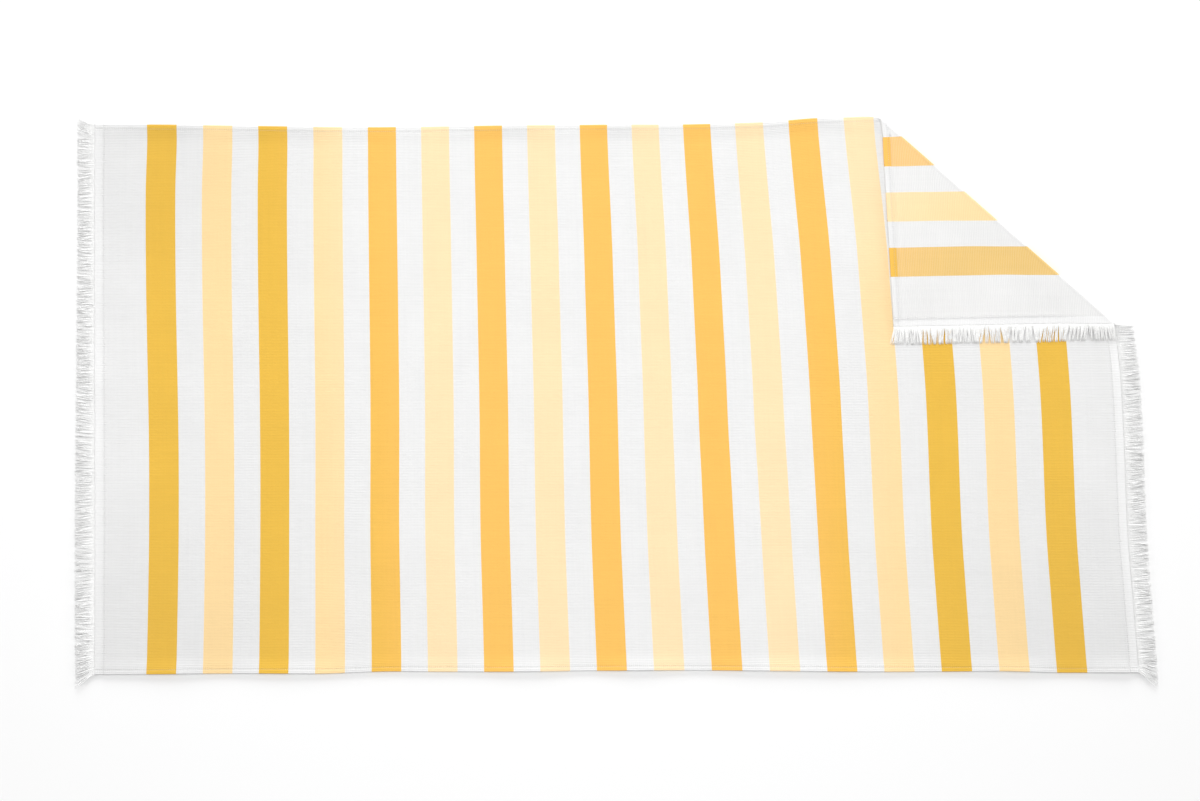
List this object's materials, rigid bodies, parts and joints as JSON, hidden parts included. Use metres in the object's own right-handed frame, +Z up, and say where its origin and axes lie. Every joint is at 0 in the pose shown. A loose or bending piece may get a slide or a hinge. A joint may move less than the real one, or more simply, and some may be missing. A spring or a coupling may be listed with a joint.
{
  "type": "beach towel",
  "caption": "Fringed cotton beach towel with gold and pale yellow stripes on white, lying flat with a far corner folded over onto its front.",
  "frame": {"origin": "on the surface that the towel lies on, at mid length and mid width of the towel as it lies, fringe included, under the middle stripe", "axes": "+X along the towel's length towards the end whose corner is folded over, +Y across its width towards that corner, +Z up, out of the front of the cloth"},
  "size_m": [1.7666, 0.9028, 0.0074],
  "materials": {
    "white_cotton": "matte",
    "gold_cotton": "matte",
    "pale_cotton": "matte",
    "white_heading": "matte",
    "fringe_yarn": "matte",
    "sewing_thread": "matte"
  },
  "bodies": {
    "towel": {"white_ground": "white_cotton", "gold_stripes": "gold_cotton", "pale_stripes": "pale_cotton", "left_end_band": "white_cotton", "right_end_band": "white_cotton", "left_heading": "white_heading", "right_heading": "white_heading", "left_fringe": "fringe_yarn", "right_fringe": "fringe_yarn", "near_hem_thread": "sewing_thread", "far_hem_thread": "sewing_thread", "left_end_thread": "sewing_thread", "right_end_thread": "sewing_thread", "crease_white": "white_cotton", "crease_gold": "gold_cotton", "crease_pale": "pale_cotton"},
    "corner": {"corner_white_ground": "white_cotton", "corner_gold_stripes": "gold_cotton", "corner_pale_stripe": "pale_cotton", "corner_end_band": "white_cotton", "corner_heading": "white_heading", "corner_fringe": "fringe_yarn", "corner_hem_thread": "sewing_thread", "corner_end_thread": "sewing_thread"}
  },
  "joints": [
    {"name": "corner_fold", "type": "hinge", "parent": "towel", "child": "corner", "pos_m": [0.43134, 0.45, 0.0037], "axis": [-0.7516, 0.6596, 0], "range_deg": [0, 180], "deforming": ["crease_white", "crease_gold", "crease_pale"]}
  ]
}
